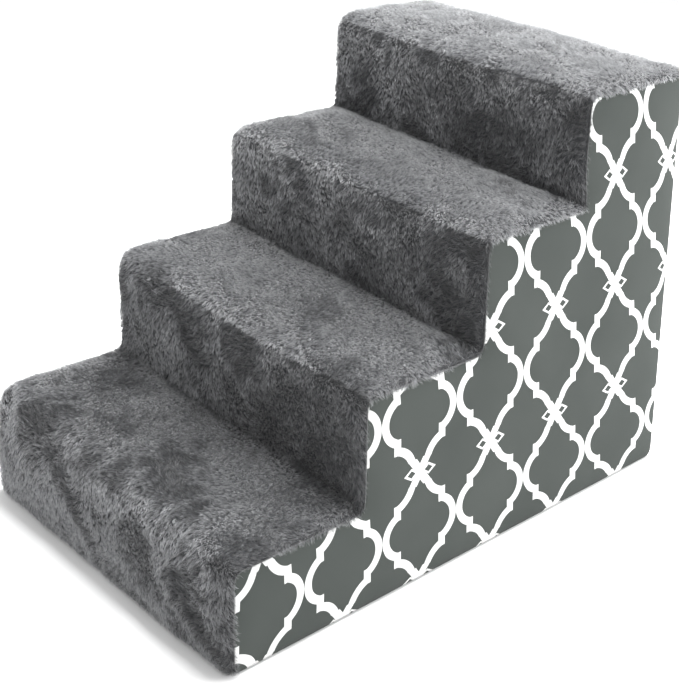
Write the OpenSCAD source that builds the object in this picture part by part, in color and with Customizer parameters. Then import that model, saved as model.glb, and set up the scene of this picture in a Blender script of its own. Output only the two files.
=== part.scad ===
// Foam pet stairs: a stack of glued foam slabs in a zipped fabric cover.
// X is the width, Y runs from the foot of the stairs to the tall back, Z is up.
// The origin is the centre of the footprint, on the surface that the stairs stand on.

/* [Stairs] */
// Number of steps; the foam slabs are named for four
step_count = 4; // [4]
// Depth of one tread
tread = 151; // [110:1:200]
// Height of one riser
rise = 114.3; // [80:0.1:160]
// Width over the two side panels
stair_w = 400; // [250:1:600]

/* [Cover] */
// Thickness of the plush runner with its pile
plush_t = 5; // [3:0.5:8]
// Radius over the front edge of each step
nose_r = 16; // [10:1:24]
// Radius of the soft fold where a tread meets the next riser
crease_r = 6; // [3:1:12]
// Thickness of the printed side and back panels
panel_t = 1.2; // [0.8:0.1:2]
// Thickness of the base panel with its grip dots
base_t = 2; // [1.5:0.1:4]

/* [Zip] */
// Width of one zip tape
tape_w = 12; // [10:0.5:16]
// Thickness of the zip tape
tape_t = 0.6; // [0.5:0.1:0.8]
// Width of one coil
coil_w = 2.5; // [2.2:0.1:3]
// Thickness of the coil
coil_t = 2.4; // [2:0.1:3]
// Height of the two lower stops above the floor
lower_stop_z = 46; // [36:1:80]
// Distance from the upper stop to the top of the stairs
upper_stop_drop = 24; // [15:1:60]
// Height of a zip stop
stop_h = 3; // [2:0.5:5]
// Length of the slider
slider_len = 12; // [10:0.5:14]
// Width of the slider
slider_w = 8.8; // [8.4:0.1:10]
// Length of the pull tab below its hinge
tab_len = 27; // [20:1:33]
// Width of the pull tab
tab_w = 6; // [5.4:0.1:8]

/* [Hidden] */
$fn = 32;

foam_colour = "ivory";
plush_colour = "dimgray";
print_colour = "darkslategray";
base_colour = "black";
tape_colour = "gray";
coil_colour = "lightgray";
metal_colour = "silver";

arc_steps = 8;            // straight pieces in each rounded corner
gap = 0.3;                // running clearance of flat faces in the zip
free_gap = 0.4;           // clearance round the coil and the hinge
plate_t = 1;              // front plate of the slider
back_plate_t = 0.8;       // back plate of the slider
web_t = 0.4;              // wedge that joins the slider's plates, between the coils
web_len = 2;
coil_x = 0.5;             // half of the slot between the two coils
flange_t = 1;             // sides of the slider that hold the coils together
flange_x = coil_x + coil_w + free_gap;
hinge_r = 0.7;            // crossbar of the pull tab
tab_t = 1.2;
bridge_t = 1;             // arch that holds the crossbar
bridge_w = 2.4;
bridge_half_len = 4.2;
tab_clear = bridge_half_len + 1;  // the tab's plate starts beyond the arch
stop_w = coil_x + coil_w + 0.2;   // half width over a stop

// Layers of the back, measured outward from the foam
tape_y = back_plate_t + 2 * gap;
panel_y = tape_y + 0.2;
coil_y = tape_y + tape_t;
plate_y = coil_y + coil_t + free_gap;
hinge_y = plate_y + plate_t + free_gap + hinge_r;
arch_y = hinge_y + hinge_r + free_gap;
back_depth = arch_y + bridge_t;

// Whole stairs
zip_proud = back_depth - panel_y - panel_t;
front_y = -(step_count * tread + zip_proud) / 2;
panel_back_y = front_y + step_count * tread;
foam_back_y = panel_back_y - panel_t - panel_y;
stair_h = step_count * rise;
foam_top = stair_h - plush_t;
foam_w = stair_w - 2 * panel_t;

// Zip, from its lower end
coil_low = lower_stop_z + stop_h;
coil_high = stair_h - upper_stop_drop;
slider_z = coil_low + free_gap + slider_len / 2;

// Points along an arc
function arc(centre, r, from, to) = [
  for (k = [0:arc_steps])
    let (a = from + (to - from) * k / arc_steps)
      centre + r * [cos(a), sin(a)]
];

function riser_y(i) = front_y + i * tread;
function tread_z(i) = (i + 1) * rise;

// Rounded front edge of step i, on a surface inset from the outside of the cover
function nosing(i, inset) =
  arc([riser_y(i) + nose_r, tread_z(i) - nose_r], nose_r - inset, 180, 90);

// Corner where tread i meets the next riser
function crease(i, inset, r) =
  let (y = riser_y(i + 1) + inset, z = tread_z(i) - inset)
    r == 0 ? [[y, z]] : arc([y - r, z + r], r, -90, 0);

// Stair line from the foot of the first riser to the end of the top tread
function stair_line(inset, r, back) = [
  [front_y + inset, base_t],
  for (i = [0:step_count - 1])
    each concat(nosing(i, inset), i < step_count - 1 ? crease(i, inset, r) : []),
  [back, stair_h - inset]
];

function reversed(points) = [for (k = [len(points) - 1:-1:0]) points[k]];

// A (Y, Z) outline made into a plate from x to x + t
module across(x, t) {
  translate([x, 0, 0])
    rotate([90, 0, 90])
      linear_extrude(t)
        children();
}

// An (X, Z) outline made into a plate that starts y outside the foam's back face
module on_back(y, t) {
  translate([0, foam_back_y + y + t, 0])
    rotate([90, 0, 0])
      linear_extrude(t)
        children();
}

// Rectangle from one corner to the other
module rect(low, high) {
  translate(low)
    square(high - low);
}

// Rectangle round a centre, with round corners
module round_rect(centre, size, r) {
  translate(centre) {
    square([size.x - 2 * r, size.y], center = true);
    square([size.x, size.y - 2 * r], center = true);
    for (sx = [-1, 1], sz = [-1, 1])
      translate([sx * (size.x / 2 - r), sz * (size.y / 2 - r)])
        circle(r);
  }
}

// Mirrors a part that is drawn at +X for side 1 and at -X for side -1
module on_side(side) {
  if (side > 0)
    children();
  else
    mirror([1, 0, 0])
      children();
}

// One slab of the core; each lies on the one below and is a tread shorter
module foam_slab(i) {
  low = i == 0 ? base_t : tread_z(i - 1) - plush_t;
  color(foam_colour)
    across(-foam_w / 2, foam_w)
      polygon(concat(
        [[riser_y(i) + plush_t, low]],
        nosing(i, plush_t),
        [[foam_back_y, tread_z(i) - plush_t], [foam_back_y, low]]
      ));
}

module foam_slab_1() { foam_slab(0); }
module foam_slab_2() { foam_slab(1); }
module foam_slab_3() { foam_slab(2); }
module foam_slab_4() { foam_slab(3); }

// One long strip over every riser and tread
module plush_runner() {
  color(plush_colour)
    across(-stair_w / 2, stair_w)
      polygon(concat(
        stair_line(0, crease_r, panel_back_y),
        reversed(stair_line(plush_t, 0, panel_back_y))
      ));
}

// Stair-shaped panel that closes one side
module side_panel(side) {
  color(print_colour)
    on_side(side)
      across(foam_w / 2, panel_t)
        polygon(concat(
          stair_line(plush_t, 0, foam_back_y + panel_y),
          [[foam_back_y + panel_y, base_t]]
        ));
}

module side_panel_left() { side_panel(-1); }
module side_panel_right() { side_panel(1); }

// One half of the back, from the zip tape to the side
module back_panel(side) {
  color(print_colour)
    on_side(side)
      on_back(panel_y, panel_t)
        rect([coil_x + tape_w, base_t], [stair_w / 2, foam_top]);
}

module back_panel_left() { back_panel(-1); }
module back_panel_right() { back_panel(1); }

// Non-slip underside, which carries the stairs
module base_panel() {
  color(base_colour)
    translate([-stair_w / 2, front_y, 0])
      cube([stair_w, step_count * tread, base_t]);
}

module zip_tape(side) {
  color(tape_colour)
    on_side(side)
      on_back(tape_y, tape_t)
        rect([coil_x, base_t], [coil_x + tape_w, foam_top]);
}

module zip_tape_left() { zip_tape(-1); }
module zip_tape_right() { zip_tape(1); }

// Outer form of one sewn coil
module zip_coil(side) {
  color(coil_colour)
    on_side(side)
      on_back(coil_y, coil_t)
        rect([coil_x, coil_low], [coil_x + coil_w, coil_high]);
}

module zip_coil_left() { zip_coil(-1); }
module zip_coil_right() { zip_coil(1); }

// One crimped clip on each tape, below the slider
module zip_lower_stops() {
  color(metal_colour)
    for (side = [-1, 1])
      on_side(side)
        on_back(coil_y, coil_t)
          rect([coil_x, lower_stop_z], [stop_w, coil_low]);
}

// One staple across both tapes, at the end of the slider's travel
module zip_upper_stop() {
  color(metal_colour)
    on_back(coil_y, coil_t)
      rect([-stop_w, coil_high], [stop_w, coil_high + stop_h]);
}

// Arch over the front plate, drawn in (Y, Z) with the hinge at its middle
module bridge_outline() {
  foot = plate_y + plate_t;
  r = (back_depth - foot) / 2;
  inner_half = bridge_half_len - bridge_t;
  difference() {
    union() {
      rect([foot - gap, -bridge_half_len], [back_depth - r, bridge_half_len]);
      rect([foot - gap, r - bridge_half_len], [back_depth, bridge_half_len - r]);
      for (s = [-1, 1])
        translate([back_depth - r, s * (bridge_half_len - r)])
          circle(r);
    }
    rect([foot, -inner_half], [arch_y, inner_half]);
  }
}

// Two plates joined by a thin wedge, with sides that hold the coils together
module zip_slider() {
  low = slider_z - slider_len / 2;
  color(metal_colour) {
    on_back(plate_y, plate_t)
      round_rect([0, slider_z], [slider_w, slider_len], 2);
    on_back(gap, back_plate_t)
      round_rect([0, slider_z], [slider_w, slider_len], 2);
    for (side = [-1, 1])
      on_side(side)
        on_back(coil_y + free_gap, coil_t)
          rect([flange_x, low + 2], [flange_x + flange_t, low + slider_len - 2]);
    on_back(gap, plate_y)
      rect([-web_t / 2, low + 0.5], [web_t / 2, low + 0.5 + web_len]);
    translate([0, foam_back_y, slider_z])
      across(-bridge_w / 2, bridge_w)
        bridge_outline();
  }
}

// Flat pull whose crossbar turns under the slider's arch
module zip_pull_tab() {
  arm_w = (tab_w - bridge_w) / 2 - free_gap;
  plate_len = tab_len - tab_clear;
  color(metal_colour) {
    on_back(hinge_y - tab_t / 2, tab_t) {
      for (s = [-1, 1])
        translate([s * (tab_w - arm_w) / 2, slider_z - (tab_clear + 1) / 2])
          square([arm_w, tab_clear + 1], center = true);
      round_rect([0, slider_z - tab_clear - plate_len / 2], [tab_w, plate_len], 0.8);
    }
    translate([-tab_w / 2, foam_back_y + hinge_y, slider_z])
      rotate([0, 90, 0])
        cylinder(r = hinge_r, h = tab_w);
  }
}

foam_slab_1();
foam_slab_2();
foam_slab_3();
foam_slab_4();
plush_runner();
side_panel_left();
side_panel_right();
back_panel_left();
back_panel_right();
base_panel();
zip_tape_left();
zip_tape_right();
zip_coil_left();
zip_coil_right();
zip_lower_stops();
zip_upper_stop();
zip_slider();
zip_pull_tab();
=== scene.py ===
"""Foam pet stairs: the looks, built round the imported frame.

The cover is one closed grid that cloth simulation pads out. Then it is cut along its seams into a plush
runner, printed side and back panels and a base. The pile, seams, grip dots and zip go on top.
"""

import math
from collections import namedtuple
from functools import partialmethod

import bmesh
import bpy
import numpy as np
from mathutils import Matrix, Vector


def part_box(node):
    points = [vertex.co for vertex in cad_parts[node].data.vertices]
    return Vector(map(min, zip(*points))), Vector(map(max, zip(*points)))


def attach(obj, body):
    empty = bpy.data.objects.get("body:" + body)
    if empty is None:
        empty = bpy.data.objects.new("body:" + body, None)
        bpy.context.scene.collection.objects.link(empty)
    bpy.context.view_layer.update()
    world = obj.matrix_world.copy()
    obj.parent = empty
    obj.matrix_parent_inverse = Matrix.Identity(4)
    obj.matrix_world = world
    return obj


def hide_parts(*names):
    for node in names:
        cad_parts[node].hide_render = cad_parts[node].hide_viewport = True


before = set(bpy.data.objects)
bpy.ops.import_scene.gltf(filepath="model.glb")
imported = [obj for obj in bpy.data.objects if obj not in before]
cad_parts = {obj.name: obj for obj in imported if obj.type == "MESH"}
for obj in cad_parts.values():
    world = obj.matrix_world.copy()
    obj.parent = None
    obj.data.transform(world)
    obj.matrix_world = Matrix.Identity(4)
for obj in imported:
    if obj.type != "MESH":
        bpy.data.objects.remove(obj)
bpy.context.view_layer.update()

MM = 0.001
STEPS = 4

# Places from the frame
RUNNER_LOW, RUNNER_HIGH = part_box("plush_runner")
SLAB_NAMES = [f"foam_slab_{i + 1}" for i in range(STEPS)]
SLABS = [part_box(name) for name in SLAB_NAMES]
PILE_SPACE = SLABS[0][0].y - RUNNER_LOW.y
HALF_W = RUNNER_HIGH.x
RISER_Y = [low.y - PILE_SPACE for low, _ in SLABS]
TREAD_Z = [high.z + PILE_SPACE for _, high in SLABS]
BACK_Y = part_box("back_panel_right")[1].y
BASE_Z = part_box("base_panel")[1].z
ZIP_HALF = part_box("zip_tape_right")[1].x
TOP_Z = RUNNER_HIGH.z
TREAD = RISER_Y[1] - RISER_Y[0]
RISE = TREAD_Z[1] - TREAD_Z[0]

# Shape of the cover
CLOTH_INSET = 3 * MM  # backing cloth below the outside of the pile
NOSE_R = 23 * MM
NOSE_R_SEAM = 16 * MM  # tighter at the right seam
EDGE_R = 11 * MM  # how far the runner's edges roll over, and drop
EDGE_DROP = 5.5 * MM
BACK_DROP = 3 * MM
BASE_DROP = 1.5 * MM
FOOT_R = 9 * MM
CREASE_PASSES = 3
TAPER = 12 * MM  # each side leans in by this much at the top
TAPER_FROM = 40 * MM
LEFT_LIFT = (15 * MM, 17 * MM, 14 * MM, 9 * MM)  # how much higher each tread stands on the left
LIFT_CURVE = 1.5  # above 1, the lift gathers towards the left
FOOT_SWELL = 4 * MM  # the first riser spreads forward at the floor
FOOT_DEPTH = 60 * MM
FOOT_TOP = 1.1  # the swelling ends at this share of the first rise
BACK_SPREAD = (11 * MM, -8 * MM)  # how far the back's corners stand out, at the floor and the top
BACK_REACH = 150 * MM
TOP_SKEW = 17 * MM  # the top riser stands forward by this at the right seam
TOP_SKEW_FROM = 0.6  # the skew starts this share of a rise below the third tread
CELLS_Y = 25
CELLS_Z = 19
CELLS_X = 62
EDGE_LINES = (0.0, 0.7 * MM, 2.4 * MM, 5.2 * MM)  # grid lines close to each side seam

# Kinds of face in the cover's grid
RUNNER, SIDE_LEFT, SIDE_RIGHT, BACK, BASE = range(5)

Cover = namedtuple("Cover", "points flat faces kinds index columns")


# ---- meshes


def link(obj):
    bpy.context.scene.collection.objects.link(obj)
    return obj


def new_mesh(name, verts, groups):
    """A smooth mesh object. Each group of faces is an array of faces of one size."""
    mesh = bpy.data.meshes.new(name)
    mesh.vertices.add(len(verts))
    mesh.vertices.foreach_set("co", np.asarray(verts, np.float32).ravel())
    corners = np.concatenate([g.ravel() for g in groups]).astype(np.int32)
    sizes = np.concatenate([np.full(len(g), g.shape[1]) for g in groups])
    starts = np.concatenate([[0], np.cumsum(sizes)[:-1]]).astype(np.int32)
    mesh.loops.add(len(corners))
    mesh.loops.foreach_set("vertex_index", corners)
    mesh.polygons.add(len(starts))
    mesh.polygons.foreach_set("loop_start", starts)
    mesh.update(calc_edges=True)
    mesh.shade_smooth()
    return link(bpy.data.objects.new(name, mesh))


def set_attribute(obj, name, values):
    """A named number or vector for each vertex."""
    values = np.asarray(values, np.float32)
    kind, key = ("FLOAT_VECTOR", "vector") if values.ndim > 1 else ("FLOAT", "value")
    obj.data.attributes.new(name, kind, "POINT").data.foreach_set(key, values.ravel())


def sheet_of(obj, thickness, levels=0):
    """Gives an open surface a cloth's thickness, inwards, and smooths it."""
    if levels:
        smooth = obj.modifiers.new("smooth", "SUBSURF")
        smooth.levels = smooth.render_levels = levels
        smooth.boundary_smooth = "PRESERVE_CORNERS"
    solid = obj.modifiers.new("thickness", "SOLIDIFY")
    solid.thickness = thickness
    solid.offset = -1
    graph = bpy.context.evaluated_depsgraph_get()
    shaped = obj.evaluated_get(graph)
    made = bpy.data.meshes.new_from_object(shaped, preserve_all_data_layers=True, depsgraph=graph)
    obj.modifiers.clear()
    obj.data = made
    return obj


def value_noise(points, cell, seed):
    """Smooth noise from 0 to 1 at 2-D points, with features about one cell across."""
    size = 64
    grid = np.random.default_rng(seed).random((size, size))
    q = np.asarray(points) / cell + size
    i = np.floor(q).astype(int)
    f = q - i
    f = f * f * (3 - 2 * f)
    x0, y0 = i[..., 0] % size, i[..., 1] % size
    x1, y1 = (x0 + 1) % size, (y0 + 1) % size
    low = grid[x0, y0] * (1 - f[..., 0]) + grid[x1, y0] * f[..., 0]
    high = grid[x0, y1] * (1 - f[..., 0]) + grid[x1, y1] * f[..., 0]
    return low * (1 - f[..., 1]) + high * f[..., 1]


# ---- the cover's grid


def smoothstep(t):
    t = np.clip(t, 0, 1)
    return t * t * (3 - 2 * t)


def x_lines():
    """Grid lines across the width: close at the seams, and one at each edge of the zip."""
    middle = np.linspace(ZIP_HALF, HALF_W - EDGE_R, CELLS_X // 2)
    right = np.concatenate([middle, [HALF_W - e for e in reversed(EDGE_LINES)]])
    return np.concatenate([-right[::-1], [0.0], right])


def edge_roll(x, depth):
    """How far the cover drops near a side seam, as a quarter ellipse."""
    near = np.clip(1 - (HALF_W - abs(x)) / EDGE_R, 0, 1)
    return depth * (1 - math.sqrt(max(0.0, 1 - near * near)))


def round_corner(y, z, corner, inward, r):
    """Moves the points of a square corner onto an arc."""
    if r <= 0:
        return y, z
    u, v = (y - corner[0]) * inward[0], (z - corner[1]) * inward[1]
    a, b = 1 - u / r, 1 - v / r
    near = (a > 0) & (b > 0) & (u > -1e-9) & (v > -1e-9)
    share = np.where(near, np.maximum(a, b) / np.maximum(np.hypot(a, b), 1e-9), 1.0)
    y = np.where(near, corner[0] + inward[0] * r * (1 - a * share), y)
    z = np.where(near, corner[1] + inward[1] * r * (1 - b * share), z)
    return y, z


def section(x):
    """y and z of the grid's crossings in the section at x, each indexed [iy, iz]."""
    inset = CLOTH_INSET + edge_roll(x, EDGE_DROP)
    risers = [y + inset for y in RISER_Y] + [BACK_Y - edge_roll(x, BACK_DROP)]
    treads = [BASE_Z / 2 + edge_roll(x, BASE_DROP)] + [z - inset for z in TREAD_Z]
    iy, iz = np.arange(STEPS * CELLS_Y + 1), np.arange(STEPS * CELLS_Z + 1)
    y = np.interp(iy, np.arange(STEPS + 1) * CELLS_Y, risers)
    z = np.interp(iz, np.arange(STEPS + 1) * CELLS_Z, treads)
    y, z = np.meshgrid(y, z, indexing="ij")
    nose_r = NOSE_R + (NOSE_R_SEAM - NOSE_R) * smoothstep(2 * x / HALF_W - 1) - inset
    for i in range(STEPS):
        y, z = round_corner(y, z, (risers[i], treads[i + 1]), (1, -1), nose_r)
    y, z = round_corner(y, z, (risers[0], treads[0]), (1, 1), FOOT_R)
    y, z = round_corner(y, z, (risers[STEPS], treads[0]), (-1, 1), FOOT_R)
    return round_corner(y, z, (risers[STEPS], treads[STEPS]), (-1, -1), FOOT_R / 2)


def runner_path():
    """Grid crossings (iy, iz) along the stair line, from its foot to the top of the back."""
    path = [(0, 0)]
    for i in range(STEPS):
        path += [(i * CELLS_Y, iz) for iz in range(i * CELLS_Z + 1, (i + 1) * CELLS_Z + 1)]
        path += [(iy, (i + 1) * CELLS_Z) for iy in range(i * CELLS_Y + 1, (i + 1) * CELLS_Y + 1)]
    return path


def cover_faces(columns):
    """Every face of the closed cover as (kind, four crossings), turned outwards."""
    deep, last = STEPS * CELLS_Y, columns - 1
    path = runner_path()
    for ix in range(last):
        for (y0, z0), (y1, z1) in zip(path, path[1:]):
            yield RUNNER, ((ix, y0, z0), (ix + 1, y0, z0), (ix + 1, y1, z1), (ix, y1, z1))
        for iz in range(STEPS * CELLS_Z):
            up = iz + 1
            yield BACK, ((ix, deep, iz), (ix, deep, up), (ix + 1, deep, up), (ix + 1, deep, iz))
        for iy in range(deep):
            yield BASE, ((ix, iy, 0), (ix, iy + 1, 0), (ix + 1, iy + 1, 0), (ix + 1, iy, 0))
    for iy in range(deep):
        for iz in range((iy // CELLS_Y + 1) * CELLS_Z):
            ring = ((iy, iz), (iy + 1, iz), (iy + 1, iz + 1), (iy, iz + 1))
            yield SIDE_RIGHT, tuple((last, y, z) for y, z in ring)
            yield SIDE_LEFT, tuple((0, y, z) for y, z in reversed(ring))


def build_cover():
    """The cover before it is padded: points, faces, their kinds, and each crossing's point."""
    lines = x_lines()
    sections = [section(x) for x in lines]
    index, points, faces, kinds = {}, [], [], []
    for kind, ring in cover_faces(len(lines)):
        for key in ring:
            if key not in index:
                index[key] = len(points)
                ix, iy, iz = key
                points.append((lines[ix], sections[ix][0][iy, iz], sections[ix][1][iy, iz]))
        faces.append([index[key] for key in ring])
        kinds.append(kind)
    return np.array(points), np.array(faces), np.array(kinds), index


def soften_creases(points, index, columns):
    """Lifts the runner off the inner corners, as cloth does where it can't fold sharply."""
    path = runner_path()
    for _ in range(CREASE_PASSES):
        moved = points.copy()
        for i in range(1, STEPS):
            middle = path.index((i * CELLS_Y, i * CELLS_Z))
            for k in range(middle - 1, middle + 2):
                for ix in range(columns):
                    before, here, after = (index[(ix, *path[k + d])] for d in (-1, 0, 1))
                    moved[here] = (points[before] + 2 * points[here] + points[after]) / 4
        points = moved
    return points


# ---- padding by cloth simulation

FRAMES = 20
PRESSURE = 3.0
RUNNER_SWELL = 5.5 * MM  # the most that the simulation may move each kind of face
PANEL_SWELL = 2.6 * MM
BACK_SWELL = 2.0 * MM
SINK = 0.8 * MM  # the most that the cloth may pull in, since foam fills it
ZIP_REACH = 60 * MM  # the back swells fully from this far beside the zip
RELAX_PASSES = 14


def swell_limits(points, faces, kinds):
    """How far each point may move: most mid-panel, and not at all at seams, base and zip."""
    limits = np.full(len(points), np.inf)
    most = {RUNNER: RUNNER_SWELL, SIDE_LEFT: PANEL_SWELL, SIDE_RIGHT: PANEL_SWELL, BACK: BACK_SWELL, BASE: 0}
    for kind, limit in most.items():
        used = np.unique(faces[kinds == kind])
        limits[used] = np.minimum(limits[used], limit)
    back = np.unique(faces[kinds == BACK])
    from_zip = smoothstep((np.abs(points[back, 0]) - ZIP_HALF) / ZIP_REACH)
    limits[back] = np.minimum(limits[back], BACK_SWELL * from_zip)
    return limits


def seam_points(faces, kinds):
    """Points that two or more kinds of face share."""
    used = np.concatenate([np.unique(faces[kinds == kind]) for kind in np.unique(kinds)])
    points, times = np.unique(used, return_counts=True)
    return points[times > 1]


def relax(shift, faces, fixed):
    """Evens out how far neighbouring points moved."""
    ends = np.concatenate([faces[:, [k, (k + 1) % 4]] for k in range(4)])
    neighbours = np.bincount(ends[:, 0], minlength=len(shift))[:, None]
    for _ in range(RELAX_PASSES):
        total = np.zeros_like(shift)
        np.add.at(total, ends[:, 0], shift[ends[:, 1]])
        even = total / neighbours
        even[fixed] = 0
        shift = (shift + even) / 2
    return shift


def add_cloth(obj, fixed):
    """Weightless cloth under pressure, held at the fixed points."""
    held = obj.vertex_groups.new(name="held")
    held.add([int(p) for p in fixed], 1.0, "REPLACE")
    cloth = obj.modifiers.new("cloth", "CLOTH")
    settings = cloth.settings
    settings.quality = 5
    settings.mass = 0.25
    settings.tension_stiffness = settings.compression_stiffness = 20
    settings.shear_stiffness = 8
    settings.bending_stiffness = 0.8
    settings.vertex_group_mass = "held"
    settings.shrink_min = -0.012
    settings.use_pressure = True
    settings.uniform_pressure_force = PRESSURE
    settings.effector_weights.gravity = 0
    cloth.collision_settings.use_collision = False
    cloth.point_cache.frame_start, cloth.point_cache.frame_end = 1, FRAMES


def simulated_points(obj):
    """The object's points after the last frame."""
    scene = bpy.context.scene
    for f in range(1, FRAMES + 1):
        scene.frame_set(f)
    graph = bpy.context.evaluated_depsgraph_get()
    moved = obj.evaluated_get(graph).data.vertices
    co = np.zeros(len(moved) * 3, np.float32)
    moved.foreach_get("co", co)
    scene.frame_set(1)
    return co.reshape(-1, 3).astype(float)


def pad_out(points, faces, kinds):
    """The cover's points when foam fills it: simulated, capped, evened out."""
    obj = new_mesh("cover_sim", points, [faces])
    outwards = np.array([v.normal[:] for v in obj.data.vertices])
    limits = swell_limits(points, faces, kinds)
    fixed = np.union1d(seam_points(faces, kinds), np.flatnonzero(limits == 0))
    add_cloth(obj, fixed)
    shift = simulated_points(obj) - points
    bpy.data.objects.remove(obj)
    inward = np.minimum((shift * outwards).sum(axis=1) + SINK, 0)
    shift -= outwards * inward[:, None]
    size = np.linalg.norm(shift, axis=1)
    keep = np.minimum(size, limits) / np.maximum(size, 1e-9)
    keep[fixed] = 0
    return points + relax(shift * keep[:, None], faces, fixed)


def skew_top_step(points):
    """The points, with the right of the top riser turned forward."""
    p = np.array(points, float)
    x, y, z = p[..., 0], p[..., 1].copy(), p[..., 2]
    rightward = np.clip((1 + x / HALF_W) / 2, 0, 1)
    up = smoothstep((z - TREAD_Z[-2]) / RISE + TOP_SKEW_FROM)
    behind_third_riser = smoothstep((y - RISER_Y[-2]) / TREAD)
    before_back = np.clip((BACK_Y - y) / TREAD, 0, 1)
    p[..., 1] -= TOP_SKEW * rightward * up * behind_third_riser * before_back
    return p


def stand(points):
    """How the cover stands: leaning in at the sides, spread at its foot, higher on the left."""
    p = skew_top_step(points)
    x, y, z = p[..., 0].copy(), p[..., 1].copy(), p[..., 2].copy()
    outer = smoothstep((np.abs(x) - TAPER_FROM) / (HALF_W - TAPER_FROM))
    p[..., 0] -= np.sign(x) * TAPER * np.clip(z / TOP_Z, 0, 1) * outer
    leftward = np.clip((1 - x / HALF_W) / 2, 0, 1)
    p[..., 2] += np.interp(z, [BASE_Z, *TREAD_Z], [0, *LEFT_LIFT]) * leftward**LIFT_CURVE
    front = smoothstep(1 - (y - RISER_Y[0]) / FOOT_DEPTH)
    low = smoothstep(FOOT_TOP - z / RISE)
    near_seam = smoothstep((x - HALF_W / 2) / (HALF_W / 2)) / 2
    p[..., 1] -= FOOT_SWELL * front * low * (1 - near_seam)
    rear = smoothstep(1 - (BACK_Y - y) / BACK_REACH) * outer
    at_floor, at_top = BACK_SPREAD
    p[..., 1] += rear * (at_floor + (at_top - at_floor) * np.clip(z / TOP_Z, 0, 1))
    return p


def make_cover():
    """The padded cover, with the flat points that it was cut from."""
    flat, faces, kinds, index = build_cover()
    columns = len(x_lines())
    points = soften_creases(flat, index, columns)
    points = pad_out(points, faces, kinds)
    return Cover(stand(points), skew_top_step(flat), faces, kinds, index, columns)


def cut_piece(name, cover, chosen):
    """One panel of the cover, which keeps where each point was on the flat cut."""
    used, part = np.unique(cover.faces[chosen], return_inverse=True)
    obj = new_mesh(name, cover.points[used], [part.reshape(-1, 4)])
    set_attribute(obj, "flat", cover.flat[used])
    return obj


# ---- foam

FOAM_SIDE_GAP = 4.5 * MM
FOAM_EDGE_R = 14 * MM
FOAM_BASE_GAP = 1.2 * MM
FOAM_TOP_GAP = 3.5 * MM
EDGE_CUTS = 5
RISE_CUTS = 2
FOAM_CUTS = 13  # lines across each slab, so that its back stays flat behind the zip


def make_foam(i):
    """One slab of foam with rounded upper edges, which leans in with the cover."""
    low, high = SLABS[i]
    mesh = bmesh.new()
    bmesh.ops.create_cube(mesh, size=1)
    half = HALF_W - FOAM_SIDE_GAP
    back = high.y - FOAM_SIDE_GAP
    front, top = low.y + FOAM_TOP_GAP, high.z - FOAM_TOP_GAP
    bottom = max(low.z, BASE_Z + FOAM_BASE_GAP)
    for v in mesh.verts:
        v.co = (v.co.x * 2 * half, back if v.co.y > 0 else front, top if v.co.z > 0 else bottom)
    high_edges = [e for e in mesh.edges if all(v.co.z > bottom for v in e.verts)]
    upper = [e for e in high_edges if min(v.co.y for v in e.verts) < back]
    bmesh.ops.bevel(mesh, geom=upper, offset=FOAM_EDGE_R, segments=EDGE_CUTS, profile=0.5, affect="EDGES")
    upright = [e for e in mesh.edges if abs(e.verts[0].co.z - e.verts[1].co.z) > RISE / 3]
    bmesh.ops.subdivide_edges(mesh, edges=upright, cuts=RISE_CUTS, use_grid_fill=True)
    across = [e for e in mesh.edges if abs(e.verts[0].co.x - e.verts[1].co.x) > HALF_W]
    bmesh.ops.subdivide_edges(mesh, edges=across, cuts=FOAM_CUTS, use_grid_fill=True)
    for v in mesh.verts:
        v.co = stand([v.co])[0]
    made = bpy.data.meshes.new(f"foam_{i + 1}")
    mesh.verts.index_update()
    rings = [[v.index for v in face.verts] for face in mesh.faces]
    rings = sorted(ring[(k := ring.index(min(ring))) :] + ring[:k] for ring in rings)
    made.from_pydata([v.co for v in mesh.verts], [], rings)  # bmesh lists its faces differently each run
    mesh.free()
    made.shade_smooth()
    return link(bpy.data.objects.new(f"foam_{i + 1}", made))


# ---- pile

PILE_LENGTH = 6.2 * MM
CLUMP_GAP = 2.56 * MM
CLUMP_SPREAD = 1.05 * MM
BLADES = 7
BLADE_W = 0.45 * MM
BLADE_BEND = math.radians(24)
HALVES = (0.5, 0.55)  # lengths of a blade's lower and upper half
GATHER = 0.8  # how far a tuft's blades are drawn together
PULLS = (0.35, 0.65)  # shares of that in each half
WAIST = 0.85  # share of a blade's width halfway up
TUFT_TURN, BLADE_TURN, BLADE_LEAN = 0.35, 0.25, 0.16  # random, in radians
BLADE_TWIST = 0.5
LEANS = (0.1, 1.45)  # least and most
TUFT_LENGTHS, BLADE_LENGTHS, BLADE_WIDTHS = (0.85, 1.1), (0.72, 1.12), (0.7, 1.3)
TUFT_SHADE, BLADE_SHADE = 0.11, 0.07
FLOOR_GAP = 0.4 * MM
FRINGE = 7 * MM  # within this of a side seam the pile leans out over the panel
FRINGE_PULL = 1.5
GRID_STEP = 0.25  # of a cell, for measuring which way the cloth runs
# The pile's shade runs from 0 to 1. These were tuned to the photo's light and shade, and are painted light
# and shade in the pile's colour.
RISER_PAINTED_LIGHT = (0.16, -0.05, -0.10, -0.17)  # painted light and shade added on each riser, from the first step
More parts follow.
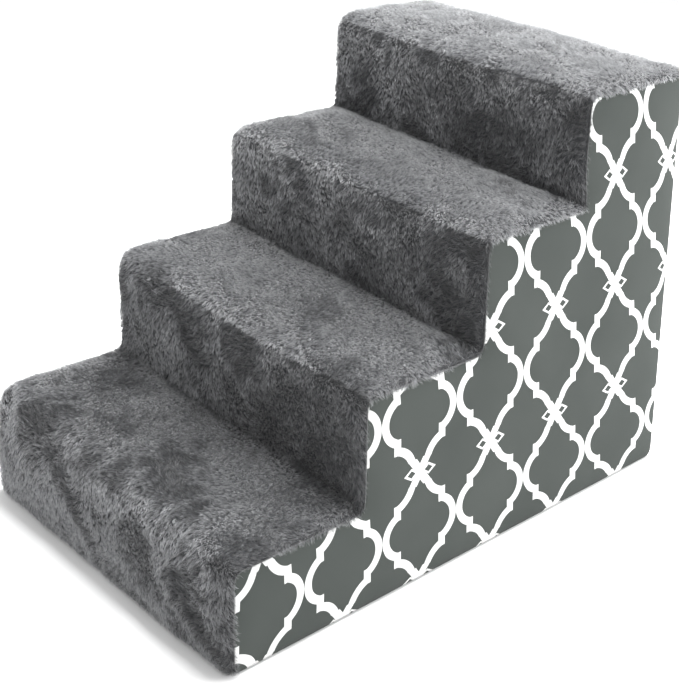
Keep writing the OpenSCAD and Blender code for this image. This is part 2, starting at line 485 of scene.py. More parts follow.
# painted light added on each tread, from the first step: paler towards the top
TREAD_PAINTED_LIGHT = (0.10, 0.29, 0.41, 0.65)
RISER_PAINTED_SHADE = 0.12  # painted shade: the risers are darker by this at the right seam, and lighter at the left
FOLD_PAINTED_SHADE = 0.16  # painted shade: darker pile by the inner folds and just below each nose
FOLD_REACH = 22 * MM
NAP_SLANT = math.radians(35)  # from straight down the stairs to the brushed streaks
NAP_TURN = math.radians(20)
NAP_LEAN = math.radians(48)
WIDE, STREAK, FINE = (70 * MM, 11), (24 * MM, 12), (9 * MM, 13)  # the nap's noises: patch size and seed
UPRIGHT, PATCH = (20 * MM, 14), (34 * MM, 15)
STREAK_STRETCH = [1.0, 0.4]
TURN_SWINGS = [math.radians(swing) for swing in (190, 170, 90)]  # by wide, streak and fine noise
LEAN_SWING = math.radians(40)
SHADE_SWINGS = (0.30, 0.30, 0.2)  # painted sheen and shade by the turn and by patches, and random tone by fine noise


def grid_values(grid, k, x):
    """Values between the crossings of a grid, at fractional row k and column x."""
    k0 = np.clip(np.floor(k).astype(int), 0, grid.shape[0] - 2)
    x0 = np.clip(np.floor(x).astype(int), 0, grid.shape[1] - 2)
    down, over = (k - k0)[..., None], (x - x0)[..., None]
    low = grid[k0, x0] * (1 - over) + grid[k0, x0 + 1] * over
    high = grid[k0 + 1, x0] * (1 - over) + grid[k0 + 1, x0 + 1] * over
    return low * (1 - down) + high * down


def unit(v):
    return v / np.maximum(np.linalg.norm(v, axis=-1, keepdims=True), 1e-12)


def nap(place):
    """How the pile lies at each place: its turn from downhill, lean from upright, and shade, which is painted
    sheen and shade by the way it lies, with random tone.
    """
    cos, sin = math.cos(NAP_SLANT), math.sin(NAP_SLANT)
    streak = value_noise(place @ np.array([[cos, -sin], [sin, cos]]) * STREAK_STRETCH, *STREAK)
    wide, fine = value_noise(place, *WIDE), value_noise(place, *FINE)
    turn = NAP_TURN + (wide - 0.5) * TURN_SWINGS[0] + (streak - 0.5) * TURN_SWINGS[1]
    turn = turn + (fine - 0.5) * TURN_SWINGS[2]
    lean = NAP_LEAN + (value_noise(place, *UPRIGHT) - 0.5) * LEAN_SWING
    patch = value_noise(place, *PATCH) + streak - 1
    by_turn, by_patch, by_fine = SHADE_SWINGS
    # painted sheen and shade: lighter and darker by the way the pile lies and in streaked patches
    shade = 0.5 + by_turn * np.cos(turn) + by_patch * patch + by_fine * (fine - 0.5)
    return turn, lean, shade


class Strip:
    """Rows k_from to k_to of the runner. Places on it are shares: a of the way uphill, b from the left."""

    def __init__(self, grid, k_from, k_to):
        self.grid, self.k_from, self.rows = grid, k_from, k_to - k_from
        part = grid[k_from : k_to + 1]
        self.long = np.linalg.norm(np.diff(part[:, part.shape[1] // 2], axis=0), axis=1).sum()
        gaps = np.linalg.norm(np.diff(part[part.shape[0] // 2], axis=0), axis=1)
        self.from_left = np.concatenate([[0], np.cumsum(gaps)])
        self.wide = self.from_left[-1]

    def cell(self, a, b):
        """Fractional row and column of the grid."""
        column = np.interp(b * self.wide, self.from_left, np.arange(len(self.from_left)))
        return self.k_from + a * self.rows, column

    def point(self, a, b):
        return grid_values(self.grid, *self.cell(a, b))

    def directions(self, a, b):
        """Uphill, sideways and outwards, at each place."""
        k, x = self.cell(a, b)

        def slope(dk, dx):
            return unit(grid_values(self.grid, k + dk, x + dx) - grid_values(self.grid, k - dk, x - dx))

        uphill, sideways = slope(GRID_STEP, 0), slope(0, GRID_STEP)
        return uphill, sideways, unit(np.cross(sideways, uphill))


def scatter_tufts(strip, rng):
    """Where the tufts stand: one in each cell of a square grid."""
    n_long, n_wide = int(strip.long / CLUMP_GAP), int(strip.wide / CLUMP_GAP)
    a, b = np.meshgrid(np.arange(n_long), np.arange(n_wide), indexing="ij")
    a = (a.ravel() + rng.random(a.size)) / n_long
    b = (b.ravel() + rng.random(b.size)) / n_wide
    return a, b


def scatter_blades(strip, a, b, rng):
    """Where each tuft's blades are rooted, around its middle."""
    size = (len(a), BLADES)
    blade_a = np.clip(a[:, None] + rng.normal(0, CLUMP_SPREAD, size) / strip.long, 0, 1)
    blade_b = np.clip(b[:, None] + rng.normal(0, CLUMP_SPREAD, size) / strip.wide, 0, 1)
    return blade_a, blade_b


def lay_blades(strip, b, directions, turn, lean, rng):
    """Each blade's lean from upright, and which way it leans."""
    uphill, sideways, outwards = directions
    n = len(turn)
    turn = turn[:, None] + rng.normal(0, TUFT_TURN, (n, 1)) + rng.normal(0, BLADE_TURN, (n, BLADES))
    lean = np.clip(lean[:, None] + rng.normal(0, BLADE_LEAN, (n, BLADES)), *LEANS)
    flow = -uphill * np.cos(turn)[..., None] + sideways * np.sin(turn)[..., None]
    near_seam = 1 - smoothstep(np.minimum(b, 1 - b) * strip.wide / FRINGE)
    flow = flow + sideways * (FRINGE_PULL * near_seam * np.sign(b - 0.5))[..., None]
    return lean, unit(flow - outwards * (flow * outwards).sum(-1, keepdims=True))


def blade_points(root, centre, outwards, flow, lean, rng):
    """Five points for each blade: two at its root, two halfway, one at its tip."""
    n = len(root)
    length = PILE_LENGTH * rng.uniform(*BLADE_LENGTHS, (n, BLADES)) * rng.uniform(*TUFT_LENGTHS, (n, 1))

    def half_blade(share, angle):
        along = outwards * np.cos(angle)[..., None] + flow * np.sin(angle)[..., None]
        return along * (share * length)[..., None]

    pull = (centre[:, None] - root) * GATHER
    middle = root + half_blade(HALVES[0], lean) + pull * PULLS[0]
    tip = middle + half_blade(HALVES[1], lean + BLADE_BEND) + pull * PULLS[1]
    across = unit(np.cross(tip - root, outwards) + outwards * rng.normal(0, BLADE_TWIST, (n, BLADES, 1)))
    half = across * (BLADE_W / 2) * rng.uniform(*BLADE_WIDTHS, (n, BLADES, 1))
    waist = half * WAIST
    verts = np.stack([root - half, root + half, middle + waist, middle - waist, tip], axis=2)
    verts[..., 2] = np.maximum(verts[..., 2], FLOOR_GAP)
    return verts.reshape(-1, 3)


def shade_blades(strip, a, b, shade, is_riser, rng):
    """Each blade's shade: its tuft's, with painted shade darker by the folds and towards the risers' right
    seam, and some of its own.
    """
    # painted shade by the inner folds and just below each nose
    from_fold = np.minimum(a, 1 - a) * strip.long if is_riser else (1 - a) * strip.long
    painted_fold_shade = FOLD_PAINTED_SHADE * (1 - smoothstep(from_fold / FOLD_REACH))
    # painted shade: risers darker towards the right seam, lighter towards the left
    painted_side_shade = RISER_PAINTED_SHADE * (2 * b - 1) if is_riser else 0
    tuft_shade = shade - painted_fold_shade - painted_side_shade + rng.normal(0, TUFT_SHADE, len(a))
    return np.clip(tuft_shade[:, None] + rng.normal(0, BLADE_SHADE, (len(a), BLADES)), 0, 1)


def grow_pile(name, strip, seed, painted_light, is_riser):
    """Tufts over a strip of the runner, each a few narrow curved blades."""
    rng = np.random.default_rng(seed)
    a, b = scatter_tufts(strip, rng)
    uphill_place = (strip.k_from + a * strip.rows) * strip.long / strip.rows
    turn, lean, shade = nap(np.stack([uphill_place, b * strip.wide], axis=1))
    blade_a, blade_b = scatter_blades(strip, a, b, rng)
    directions = strip.directions(blade_a, blade_b)
    lean, flow = lay_blades(strip, blade_b, directions, turn, lean, rng)
    verts = blade_points(strip.point(blade_a, blade_b), strip.point(a, b), directions[2], flow, lean, rng)
    count = len(verts) // 5
    first = np.arange(count)[:, None] * 5
    obj = new_mesh(name, verts, [first + [0, 1, 2, 3], first + [3, 2, 4]])
    set_attribute(obj, "along", np.tile([0, 0, 0.5, 0.5, 1.0], count))
    # the step's painted light and shade goes into each blade's shade
    blade_shade = shade_blades(strip, a, b, shade + painted_light, is_riser, rng)
    set_attribute(obj, "shade", np.repeat(blade_shade.ravel(), 5))
    return obj


def runner_grid(cover):
    """The runner's points, indexed [along the stair line, across]."""
    rows = [[cover.index[(ix, iy, iz)] for ix in range(cover.columns)] for iy, iz in runner_path()]
    return cover.points[np.array(rows)]


# ---- seams, grips and zip

STITCH = 2.8 * MM
STITCH_GAP = 1.0 * MM
THREAD_R = 0.28 * MM
STITCH_POINTS, STITCH_ARCH = 5, 0.9  # the arch is a share of the thread's radius
HEM = 3 * MM
HEM_ENDS = (6 * MM, 8 * MM)  # from the floor and the top
COIL_SEAM = 5.0 * MM  # clear of the slider's sides
PROUD = 0.05 * MM  # stitches' middle above the tape, and twice this above the canvas
DOT_GAP = 11 * MM
DOT_ROW_GAP = 0.87 * DOT_GAP
DOT_R = 2.2 * MM
DOT_H = 0.6 * BASE_Z
DOT_RINGS = ((1.0, 1.0), (0.92, 0.35), (0.6, 0.05))  # share of the radius and the height
DOT_SIDES = 10
DOT_MARGIN = 12 * MM
COIL_PITCH = 1.5 * MM
COIL_STEPS = 12  # points for each turn
RIPPLE = 0.1 * MM
RIPPLE_LENGTH = 7 * MM
TAPE_CUTS = (9, 120)  # points across and up a tape
TAPE_BODY = 0.8  # share of the CAD tape's thickness
COIL_WIRE_R = 0.33 * MM
FLAP_HALF = 15 * MM  # cloth flap behind the zip, which keeps the foam out of it
FLAP_GAP = 0.5 * MM  # between the flap and the slider
FLAP_THICK = 0.6 * MM
EDGE_STRIP_R = 0.7 * MM
EDGE_STRIP_STEP = 3 * MM
EDGE_STRIP_OUT = 0.6  # share of its radius that it stands out
EDGE_PASSES = 2


def tubes(name, paths, radius, sides=6, taper=0.0):
    """Round tubes along open paths, given as an array [path, point, xyz]. taper thins their ends."""
    paths = np.asarray(paths, float)
    count, n = paths.shape[:2]
    ahead = unit(np.gradient(paths, axis=1))
    helper = np.where(np.abs(ahead[..., 1:2]) > 0.9, [1.0, 0, 0], [0, 1.0, 0])
    side = unit(np.cross(ahead, helper))
    other = np.cross(ahead, side)
    turn = np.arange(sides) * 2 * math.pi / sides
    thick = radius * (1 - taper * np.abs(np.linspace(-1, 1, n)) ** 4)
    ring = side[:, :, None] * np.cos(turn)[:, None] + other[:, :, None] * np.sin(turn)[:, None]
    verts = (paths[:, :, None] + ring * thick[:, None, None]).reshape(-1, 3)
    i, j = np.meshgrid(np.arange(n - 1) * sides, np.arange(sides), indexing="ij")
    k = (j + 1) % sides
    quads = np.stack([i + j, i + k, i + sides + k, i + sides + j], axis=-1).reshape(-1, 4)
    caps = np.array([np.arange(sides)[::-1], (n - 1) * sides + np.arange(sides)])
    first = (np.arange(count) * n * sides)[:, None, None]
    return new_mesh(name, verts, [(first + quads).reshape(-1, 4), (first + caps).reshape(-1, sides)])


def resample(line, gap):
    """Points a fixed gap apart along a line."""
    line = np.asarray(line, float)
    run = np.concatenate([[0], np.cumsum(np.linalg.norm(np.diff(line, axis=0), axis=1))])
    at = np.arange(gap / 2, run[-1], gap)
    return np.stack([np.interp(at, run, line[:, k]) for k in range(3)], axis=1)


def stitches(name, line):
    """A row of stitches along a line, which arch backwards out of the cloth."""
    middles = resample(line, STITCH + STITCH_GAP)
    ahead = unit(np.gradient(middles, axis=0))
    t = np.linspace(-0.5, 0.5, STITCH_POINTS)
    arch = (1 - (2 * t) ** 2)[:, None] * THREAD_R * STITCH_ARCH
    paths = middles[:, None] + ahead[:, None] * (t * STITCH)[:, None] + np.array([0, 1, 0]) * arch
    return tubes(name, paths, THREAD_R, taper=0.5)


def seam_strip(name, seam, sign):
    """The runner's raw edge, rolled into a narrow strip along the seam."""
    line = resample(seam, EDGE_STRIP_STEP)
    for _ in range(EDGE_PASSES):
        line[1:-1] = (line[:-2] + 2 * line[1:-1] + line[2:]) / 4
    line[:, 2] = np.maximum(line[:, 2], FLOOR_GAP + EDGE_STRIP_R)
    line[:, 0] += sign * EDGE_STRIP_R * EDGE_STRIP_OUT
    return tubes(name, [line], EDGE_STRIP_R, sides=8, taper=0.4)


def one_dot():
    """Points and side faces of one dot, in rings from its foot to its top."""
    turns = np.arange(DOT_SIDES) * 2 * math.pi / DOT_SIDES
    circle = [(DOT_R * math.cos(t), DOT_R * math.sin(t)) for t in turns]
    dot = [(x * r, y * r, DOT_H * h) for r, h in DOT_RINGS for x, y in circle]
    low, j = np.meshgrid(np.arange(len(DOT_RINGS) - 1) * DOT_SIDES, np.arange(DOT_SIDES), indexing="ij")
    k, up = (j + 1) % DOT_SIDES, low + DOT_SIDES
    return np.array(dot), np.stack([low + j, up + j, up + k, low + k], axis=-1).reshape(-1, 4)


def grip_dots():
    """Low rubber dots in a staggered grid under the base."""
    xs = np.arange(-HALF_W + DOT_MARGIN, HALF_W - DOT_MARGIN, DOT_GAP)
    ys = np.arange(RISER_Y[0] + DOT_MARGIN, BACK_Y - DOT_MARGIN, DOT_ROW_GAP)
    middles = [(x + (row % 2) * DOT_GAP / 2, y, 0) for row, y in enumerate(ys) for x in xs]
    dot, faces = one_dot()
    ring = np.arange(DOT_SIDES)
    caps = np.array([(ring + len(dot) - DOT_SIDES)[::-1], ring])
    first = (np.arange(len(middles)) * len(dot))[:, None, None]
    verts = (np.array(middles)[:, None] + dot).reshape(-1, 3)
    groups = [(first + faces).reshape(-1, 4), (first + caps).reshape(-1, DOT_SIDES)]
    return new_mesh("grip_dots", verts, groups)


def zip_coil(node):
    """One sewn nylon coil: a wire in a flattened helix that fills the node's box."""
    low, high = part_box(node)
    turns = int((high.z - low.z - 2 * COIL_WIRE_R) / COIL_PITCH)
    t = np.arange(turns * COIL_STEPS + 1) / COIL_STEPS
    turn = t * 2 * math.pi
    cx, cy = (low.x + high.x) / 2, (low.y + high.y) / 2
    rx, ry = (high.x - low.x) / 2 - COIL_WIRE_R, (high.y - low.y) / 2 - COIL_WIRE_R
    x = cx + rx * np.cos(turn)
    y = cy + ry * np.sin(turn)
    z = low.z + COIL_WIRE_R + t * COIL_PITCH
    return tubes(f"{node}_wire", [np.stack([x, y, z], axis=1)], COIL_WIRE_R)


def upright_sheet(name, x_ends, z_ends, depth, thickness):
    """A thin sheet that faces back, with its face at depth(x, z)."""
    across, up = TAPE_CUTS
    x, z = np.meshgrid(np.linspace(*x_ends, across), np.linspace(*z_ends, up), indexing="ij")
    verts = np.stack([x, depth(x, z), z], axis=-1).reshape(-1, 3)
    first = (np.arange(across - 1)[:, None] * up + np.arange(up - 1)).reshape(-1, 1)
    faces = first + np.array([0, 1, up + 1, up])
    return sheet_of(new_mesh(name, verts, [faces]), thickness)


def zip_tape(node):
    """Woven tape with a slightly rippled free edge."""
    low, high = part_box(node)

    def rippled(x, z):
        outer = np.abs(x) > ZIP_HALF / 2
        return high.y - RIPPLE * (1 + np.sin(z / RIPPLE_LENGTH)) * outer * (np.abs(x) / ZIP_HALF)

    thickness = (high.y - low.y) * TAPE_BODY
    return upright_sheet(f"{node}_cloth", (low.x, high.x), (low.z, high.z), rippled, thickness)


def zip_flap():
    """Cloth flap behind the zip, clear of the slider's back plate."""
    low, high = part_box("zip_tape_right")
    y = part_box("zip_slider")[0].y - FLAP_GAP
    ends = (-FLAP_HALF, FLAP_HALF), (low.z, high.z)
    return upright_sheet("zip_flap_cloth", *ends, lambda x, z: np.full_like(x, y), FLAP_THICK)


# ---- materials

def feed(tree, socket, value):
    """Gives a socket a Value, another socket or a plain value."""
    if isinstance(value, Value):
        value = value.socket
    if isinstance(value, bpy.types.NodeSocket):
        tree.links.new(value, socket)
    else:
        socket.default_value = value


class Value:
    """A shader socket that arithmetic works on: each sum or product is a Math node."""

    def __init__(self, tree, socket):
        self.tree, self.socket = tree, socket

    def math(self, operation, *others):
        node = self.tree.nodes.new("ShaderNodeMath")
        node.operation = operation
        for slot, value in zip(node.inputs, (self, *others)):
            feed(self.tree, slot, value)
        return Value(self.tree, node.outputs[0])

    __add__ = partialmethod(math, "ADD")
    __sub__ = partialmethod(math, "SUBTRACT")
    __mul__ = partialmethod(math, "MULTIPLY")
    __lt__ = partialmethod(math, "LESS_THAN")
    __gt__ = partialmethod(math, "GREATER_THAN")
    __or__ = partialmethod(math, "MAXIMUM")
    __and__ = __mul__

    def abs(self):
        return self.math("ABSOLUTE")

    def fold(self, period):
        """Distance from the nearest multiple of the period."""
        return self.math("PINGPONG", period / 2)


class Material:
    """A Principled material and its nodes."""

    def __init__(self, name, roughness, **sockets):
        self.material = bpy.data.materials.new(name)
        self.material.use_nodes = True
        self.tree = self.material.node_tree
        self.shader = next(n for n in self.tree.nodes if n.type == "BSDF_PRINCIPLED")
        self.shader.inputs["Roughness"].default_value = roughness
        for socket, value in sockets.items():
            self.shader.inputs[socket.replace("_", " ")].default_value = value

    def node(self, kind, **settings):
        made = self.tree.nodes.new(kind)
        for key, value in settings.items():
            setattr(made, key, value)
        return made

    def put(self, socket, value):
        feed(self.tree, socket, value)

    def attribute(self, name, output="Fac"):
        return self.node("ShaderNodeAttribute", attribute_name=name).outputs[output]

    def place(self):
        return self.node("ShaderNodeTexCoord").outputs["Object"]

    def split(self, vector):
        """x, y and z as Values."""
        node = self.node("ShaderNodeSeparateXYZ")
        self.put(node.inputs[0], vector)
        return [Value(self.tree, out) for out in node.outputs]

    def scaled(self, vector, scale):
        node = self.node("ShaderNodeVectorMath", operation="MULTIPLY")
        self.put(node.inputs[0], vector)
        node.inputs[1].default_value = scale
        return node.outputs[0]

    def texture(self, kind, output, vector, **inputs):
        node = self.node(kind)
        for name, value in {"Vector": vector, **inputs}.items():
            self.put(node.inputs[name], value)
        return Value(self.tree, node.outputs[output])

    def noise(self, vector, scale, detail=2.0):
        return self.texture("ShaderNodeTexNoise", "Fac", vector, Scale=scale, Detail=detail)

    def voronoi(self, vector, scale):
        return self.texture("ShaderNodeTexVoronoi", "Distance", vector, Scale=scale)

    def ramp(self, value, *stops):
        node = self.node("ShaderNodeValToRGB")
        self.put(node.inputs[0], value)
        elements = node.color_ramp.elements
        while len(elements) < len(stops):
            elements.new(0.5)
        for element, (at, colour) in zip(elements, stops):
            element.position, element.color = at, (*colour, 1)
        return node.outputs[0]

    def mix(self, share, low, high, blend="MIX"):
        node = self.node("ShaderNodeMix", data_type="RGBA", blend_type=blend)
        self.put(node.inputs["Factor"], share)
        for socket, colour in zip([s for s in node.inputs if s.type == "RGBA"], (low, high)):
            self.put(socket, colour)
        return next(s for s in node.outputs if s.type == "RGBA")

    def colour(self, value):
        self.put(self.shader.inputs["Base Color"], value)

    def bump(self, height, strength, distance):
        node = self.node("ShaderNodeBump")
        self.put(node.inputs["Height"], height)
        node.inputs["Strength"].default_value = strength
        node.inputs["Distance"].default_value = distance
        self.tree.links.new(node.outputs[0], self.shader.inputs["Normal"])


def weave(u, v, pitch):
    """Height of a plain weave at flat places u and v: crossing rounded threads."""
    across = (u * (math.pi / pitch)).math("SINE").abs()
    along = (v * (math.pi / pitch)).math("SINE").abs()
    cells = (u * (0.5 / pitch)).math("FLOOR") + (v * (0.5 / pitch)).math("FLOOR")
    over = cells.math("MODULO", 2.0)
    return across * (over * 0.5 + 0.5) + along * (over * -0.5 + 1.0)


# The print, in millimetres. From each crossing a white band runs straight out, swells in an arc, steps out by
# a notch and swells again to touch its neighbour.
HALF_REPEAT_W = 48.5
HALF_REPEAT_H = 62.0
BAND = 4.3  # half of the band's width
STRAIGHT_BAND = 1.08 * BAND
OVERLAP = 2.0
CROSS_END = (9.8, 15.1)
LOW_ARC = ((37.1, 4.5), 28.3)
HIGH_ARC = ((20.0, HALF_REPEAT_H), 24.0)
NOTCH = (29.1, 31.6, 39.8)  # across, from, to
DIAMOND_AT = 11.2
DIAMOND = (9.5, 6.5)
DIAMOND_HOLE = (5.3, 4.0)
PRINT_PITCH = (98.1, 122.7)
PRINT_AT = (227.8, 124.8)  # a crossing, behind the first riser and above the floor
PRINT_LEAN = 0.044  # the cloth was cut a little off its grain
PRINT_TILT = 0.018
PRINT_GATHER = 0.0003  # and is drawn in by this share for each millimetre higher
PRINT_BOW = (0.0002, 0.0004)  # and bows towards the foot, by the square of millimetres forward
WANDER = 0.8  # how unevenly the bands were printed
CANVAS_THREAD = 0.7 * MM


def near_arc(u, v, arc):
    """1 on the band that follows an arc."""
    (cu, cv), r = arc
    du, dv = u - cu, v - cv
    return ((du * du + dv * dv).math("SQRT") - r).abs() < BAND


def near_line(u, v, end):
    """1 on the band that runs straight from the crossing to end."""
    length = math.hypot(*end)
    return (u * (end[1] / length) - v * (end[0] / length)).abs() < STRAIGHT_BAND


def in_diamond(u, v, size):
    return ((u - DIAMOND_AT).abs() * (1 / size[0]) + v * (1 / size[1])) < 1.0


def trellis(u, v):
    """1 on the white trellis and 0 on the ground, (u, v) millimetres from a crossing."""
    u, v = u.fold(2 * HALF_REPEAT_W), v.fold(2 * HALF_REPEAT_H)
    across, low, high = NOTCH
    line = near_line(u, v, CROSS_END) & (v < CROSS_END[1])
    swell = near_arc(u, v, LOW_ARC) & (v > CROSS_END[1] - OVERLAP) & (u < across + BAND)
    notch = ((u - across).abs() < BAND) & ((v - (low + high) / 2).abs() < (high - low) / 2 + BAND)
    lobe = near_arc(u, v, HIGH_ARC) & (u > across - BAND)
    bands = line | swell | notch | lobe | in_diamond(u, v, DIAMOND)
    return bands & (in_diamond(u, v, DIAMOND_HOLE) * -1.0 + 1.0)


def side_print(y, up):
    """The print's coordinates on a side panel, where it leans, tilts, gathers and bows."""
    run = (y - RISER_Y[0]) * 1000.0 - PRINT_AT[0]
    forward = run.math("MINIMUM", 0.0)
    bow = forward * forward
    along = run * (up * PRINT_GATHER + 1.0) + up * PRINT_LEAN - bow * PRINT_BOW[0]
    return along, up + run * PRINT_TILT + bow * PRINT_BOW[1]


def printed_canvas(name, is_side):
    """Slate canvas with a white trellis print, for a side panel or the back."""
    mat = Material(name, 0.9, Sheen_Weight=0.04, Sheen_Roughness=0.5, Specular_IOR_Level=0.2)
    flat = mat.attribute("flat", "Vector")
    x, y, z = mat.split(flat)
    up = z * 1000.0 - PRINT_AT[1]
    along, up = side_print(y, up) if is_side else (x * 1000.0, up)
    wander = (mat.noise(flat, 60.0) - 0.5) * WANDER
    white_here = trellis(
        along * (2 * HALF_REPEAT_W / PRINT_PITCH[0]) + wander,
        up * (2 * HALF_REPEAT_H / PRINT_PITCH[1]) + wander,
    )
    blotch = mat.noise(flat, 9.0, 3.0)
    ground = mat.ramp(blotch, (0.3, (0.046, 0.053, 0.049)), (0.7, (0.060, 0.068, 0.063)))
    white = mat.ramp(blotch, (0.3, (0.70, 0.71, 0.70)), (0.7, (0.76, 0.76, 0.75)))
    threads = weave(y if is_side else x, z, CANVAS_THREAD)
    tone = mat.ramp(threads, (0.0, (0.62, 0.62, 0.62)), (0.9, (1.0, 1.0, 1.0)))
    mat.colour(mat.mix(1.0, mat.mix(white_here, ground, white), tone, "MULTIPLY"))
    mat.bump(threads, 0.6, 0.2 * MM)
    return mat.material


def plush_pile():
    """Grey pile, with painted shade dark at its roots deep in the pile, and painted sheen and shade that
    follow the way that it lies.
    """
    mat = Material("plush_pile", 0.8, Sheen_Weight=0.6, Sheen_Roughness=0.45)
    dark, middle, pale = (0.082, 0.084, 0.088), (0.25, 0.255, 0.262), (0.74, 0.75, 0.76)
    # shade holds the painted light, sheen and shade, with random tone
    tip = mat.ramp(mat.attribute("shade"), (0.05, dark), (0.5, middle), (0.95, pale))
    # painted shade: darker towards the roots, deep in the pile
    painted_root_shade, halfway = (0.12, 0.12, 0.125), (0.48, 0.48, 0.49)
    root = mat.ramp(mat.attribute("along"), (0.0, painted_root_shade), (0.5, halfway), (1.0, (1.0, 1.0, 1.0)))
    mat.colour(mat.mix(1.0, tip, root, "MULTIPLY"))
    return mat.material


def grained(mat, grain, dark, pale, bump=0, depth=0, stops=(0.3, 0.7)):
    """A finish whose colour and relief follow one grain. A number means noise of that scale."""
    grain = grain if isinstance(grain, Value) else mat.noise(mat.place(), grain)
    mat.colour(mat.ramp(grain, (stops[0], dark), (stops[1], pale)))
    if bump:
        mat.bump(grain, bump, depth)
    return mat.material


def plush_backing():
    """Knitted backing under the pile."""
    mat = Material("plush_backing", 0.95)
    return grained(mat, 900.0, (0.02, 0.021, 0.023), (0.05, 0.052, 0.056), 0.5, 0.4 * MM)


def grip_cloth():
    """Black non-slip base cloth."""
    mat = Material("grip_cloth", 0.9)
    x, y, _ = mat.split(mat.place())
    threads = weave(x, y, CANVAS_THREAD)
    return grained(mat, threads, (0.012, 0.012, 0.013), (0.035, 0.035, 0.037), 0.5, 0.2 * MM, (0, 1))


def foam():
    """Open-cell foam."""
    mat = Material("foam", 0.95)
    cells = mat.voronoi(mat.place(), 900.0)
    return grained(mat, cells, (0.62, 0.56, 0.36), (0.85, 0.80, 0.62), 0.6, 0.5 * MM, (0, 0.6))


def zip_metal():
    """Dull cast metal with fine wear."""
    mat = Material("zip_metal", 0.32, Metallic=1.0)
    wear = mat.noise(mat.place(), 1800.0, 3.0)
    return grained(mat, wear, (0.22, 0.22, 0.215), (0.29, 0.29, 0.28), 0.10, 0.03 * MM)


def tape_weave():
    """Ribbed tape, woven on the slant."""
    mat = Material("zip_tape", 0.85, Sheen_Weight=0.2)
    x, _, z = mat.split(mat.place())
    ribs = weave(x + z * 0.6, z - x * 0.6, 0.6 * MM)
    return grained(mat, ribs, (0.022, 0.026, 0.025), (0.062, 0.070, 0.067), 0.8, 0.25 * MM, (0, 1))


def coil_nylon():
    """Smooth nylon wire."""
    mat = Material("coil_nylon", 0.35)
    return grained(mat, 300.0, (0.045, 0.052, 0.050), (0.080, 0.090, 0.086))


def thread():
    """Spun sewing thread."""
    mat = Material("thread", 0.6)
    twist = mat.noise(mat.scaled(mat.place(), (1, 1, 3)), 1500.0)
    return grained(mat, twist, (0.095, 0.105, 0.102), (0.16, 0.17, 0.165), 0.4, 0.1 * MM)


def edge_cloth():
    """The bare edge of the plush's backing."""
    mat = Material("edge_cloth", 0.9, Sheen_Weight=0.3)
    return grained(mat, 800.0, (0.050, 0.052, 0.054), (0.105, 0.108, 0.110), 0.5, 0.2 * MM)


def rubber():
    """Soft black rubber."""
    mat = Material("rubber", 0.55)
    return grained(mat, 500.0, (0.014, 0.014, 0.015), (0.030, 0.030, 0.032), 0.3, 0.1 * MM)


def floor_paint():
    """Plain pale floor."""
    mat = Material("floor_paint", 0.7)
    return grained(mat, 2.0, (0.86, 0.86, 0.86), (0.88, 0.88, 0.88))


# ---- making the pieces

RUNNER_THICK = 1.2 * MM
CANVAS_THICK = 0.8 * MM
FIRST_SEED = 100
SIDES = (("left", -1), ("right", 1))


def give(obj, material, node=None):
    """A piece's material, body, and the CAD node that it stands for."""
    obj.data.materials.clear()
    obj.data.materials.append(material)
    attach(obj, "stairs")
    if node:
        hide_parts(node)
    return obj


def make_pile(grid):
    """A patch of pile for each riser and tread."""
    material = plush_pile()
    pile = []
    for i in range(STEPS):
        foot = i * (CELLS_Z + CELLS_Y)
        nose = foot + CELLS_Z
        riser, tread = Strip(grid, foot, nose), Strip(grid, nose, nose + CELLS_Y)
        seed = FIRST_SEED + 10 * i
        # each riser and tread gets its own painted light and shade
        pile.append(grow_pile(f"pile_riser_{i + 1}", riser, seed, RISER_PAINTED_LIGHT[i], True))
        pile.append(grow_pile(f"pile_tread_{i + 1}", tread, seed + 1, TREAD_PAINTED_LIGHT[i], False))
    return [give(tufts, material) for tufts in pile]


def make_runner(cover):
    """The plush runner: pile, backing and bare edges. Its length is measured down its middle."""
    grid = runner_grid(cover)
    pile = make_pile(grid)
    runner = sheet_of(cut_piece("plush_runner_cloth", cover, cover.kinds == RUNNER), RUNNER_THICK)
    give(runner, plush_backing(), "plush_runner")
    length = np.linalg.norm(np.diff(grid[:, cover.columns // 2], axis=0), axis=1).sum()
    edge = edge_cloth()
    for (side, sign), seam in zip(SIDES, (grid[:, 0], grid[:, -1])):
        give(seam_strip(f"seam_edge_{side}", seam, sign), edge)


def make_sides(cover):
    """The printed side panels, cut to the stair outline."""
    canvas = printed_canvas("printed_side", True)
    for (side, _), kind in zip(SIDES, (SIDE_LEFT, SIDE_RIGHT)):
        panel = sheet_of(cut_piece(f"side_panel_{side}_cloth", cover, cover.kinds == kind), CANVAS_THICK, 1)
        give(panel, canvas, f"side_panel_{side}")


def make_back(cover):
    """The printed back panels, beside the zip and meeting above it."""
    places = cover.flat[cover.faces]
    x = places[:, :, 0].mean(axis=1)
    above_zip = places[:, :, 2].max(axis=1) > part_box("zip_tape_right")[1].z
    canvas = printed_canvas("printed_back", False)
    for side, sign in SIDES:
        chosen = (cover.kinds == BACK) & ((x * sign > ZIP_HALF) | (above_zip & (x * sign > 0)))
        panel = sheet_of(cut_piece(f"back_panel_{side}_cloth", cover, chosen), CANVAS_THICK, 1)
        give(panel, canvas, f"back_panel_{side}")


def make_base(cover):
    """The base cloth, with its grip dots."""
    base = sheet_of(cut_piece("base_cloth", cover, cover.kinds == BASE), CANVAS_THICK)
    give(base, grip_cloth(), "base_panel")
    give(grip_dots(), rubber())


def make_slabs():
    """The four slabs of foam."""
    material = foam()
    for i, node in enumerate(SLAB_NAMES):
        slab = give(make_foam(i), material, node)


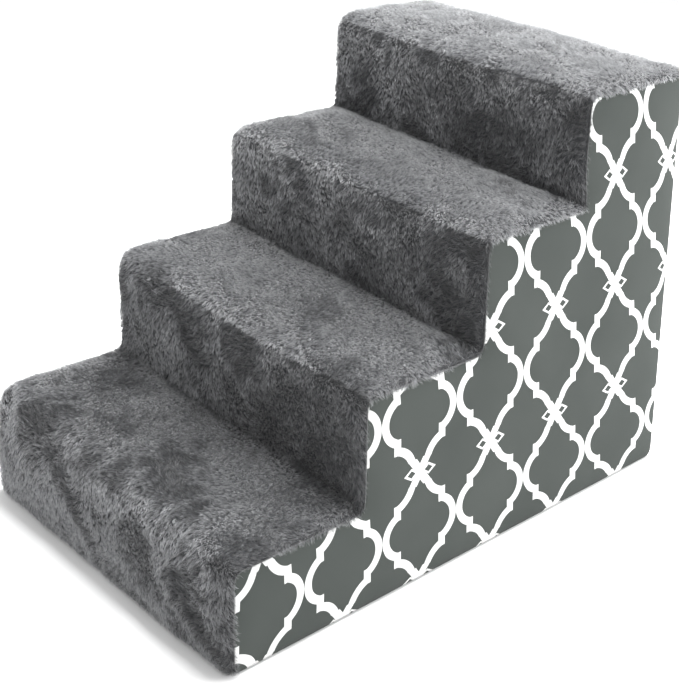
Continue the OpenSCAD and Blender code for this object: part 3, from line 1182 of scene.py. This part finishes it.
def make_zip():
    """The zip: its metal, the flap behind it, and each half's tape, coil and stitches."""
    metal, woven, nylon, sewing = zip_metal(), tape_weave(), coil_nylon(), thread()
    for name in ("zip_slider", "zip_pull_tab", "zip_lower_stops", "zip_upper_stop"):
        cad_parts[name].data.materials[0] = metal
    low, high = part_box("zip_tape_right")
    flap = give(zip_flap(), woven)
    for side, sign in SIDES:
        node = f"zip_tape_{side}"
        tape = give(zip_tape(node), woven, node)
        node = f"zip_coil_{side}"
        give(zip_coil(node), nylon, node)
        hem_x = sign * (ZIP_HALF + HEM)
        hem = [(hem_x, BACK_Y + 2 * PROUD, z) for z in (HEM_ENDS[0], TOP_Z - HEM_ENDS[1])]
        give(stitches(f"zip_stitches_{side}", hem), sewing)
        seam = [(sign * COIL_SEAM, high.y + PROUD, z) for z in (low.z + HEM, high.z - HEM)]
        give(stitches(f"coil_stitches_{side}", seam), sewing)


# ---- camera, light and floor

AZIMUTH, ELEVATION, ROLL = 47.57, 23.38, 1.82
DISTANCE = 1.389
FOCAL = 68.62
SHIFT = -0.08
AIM_RIGHT, AIM_UP = -0.0004, -0.0068
AIM = (0, -5.1 * MM, 228.6 * MM)
FLOOR_HALF = 20.0
WORLD_STRENGTH = 0.98
LIGHTS = (  # name, place, size, power and aim
    ("top", (0.0, 0.25, 1.9), 0.9, 60, (0, 0.1, 0.2)),
    ("back", (-0.6, 1.3, 1.5), 0.9, 17, (0, 0.1, 0.35)),
    ("side", (1.2, 1.3, 0.9), 0.7, 32, (0.2, 0.3, 0.3)),
)


def make_camera():
    a, e, r = (math.radians(v) for v in (AZIMUTH, ELEVATION, ROLL))
    back = Vector((math.sin(a) * math.cos(e), -math.cos(a) * math.cos(e), math.sin(e)))
    right = Vector((math.cos(a), math.sin(a), 0))
    up = back.cross(right)
    turned_right = right * math.cos(r) + up * math.sin(r)
    turned_up = up * math.cos(r) - right * math.sin(r)
    camera = link(bpy.data.objects.new("camera", bpy.data.cameras.new("camera")))
    place = Vector(AIM) + turned_right * AIM_RIGHT + turned_up * AIM_UP + back * DISTANCE
    matrix = [[turned_right[i], turned_up[i], back[i], place[i]] for i in range(3)] + [[0, 0, 0, 1]]
    camera.matrix_world = Matrix(matrix)
    camera.data.lens = FOCAL
    camera.data.shift_y = SHIFT
    camera.data.clip_end = 20
    bpy.context.scene.camera = camera


def make_floor():
    corners = [(x * FLOOR_HALF, y * FLOOR_HALF, 0) for x, y in ((-1, -1), (1, -1), (1, 1), (-1, 1))]
    floor = new_mesh("floor", corners, [np.array([[0, 1, 2, 3]])])
    floor.data.materials.append(floor_paint())


def area_light(name, place, size, power, aim):
    light = bpy.data.lights.new(name, "AREA")
    light.energy, light.size = power, size
    obj = link(bpy.data.objects.new(name, light))
    obj.location = place
    obj.rotation_euler = (Vector(aim) - Vector(place)).to_track_quat("-Z", "Y").to_euler()


def make_world():
    world = bpy.data.worlds.new("studio")
    world.use_nodes = True
    sky = next(n for n in world.node_tree.nodes if n.type == "BACKGROUND")
    sky.inputs["Color"].default_value = (1, 1, 1, 1)
    sky.inputs["Strength"].default_value = WORLD_STRENGTH
    bpy.context.scene.world = world


cover = make_cover()
make_runner(cover)
make_sides(cover)
make_back(cover)
make_base(cover)
make_slabs()
make_zip()

bpy.context.scene.view_settings.view_transform = "Standard"
make_camera()
make_floor()
make_world()
for light in LIGHTS:
    area_light(*light)
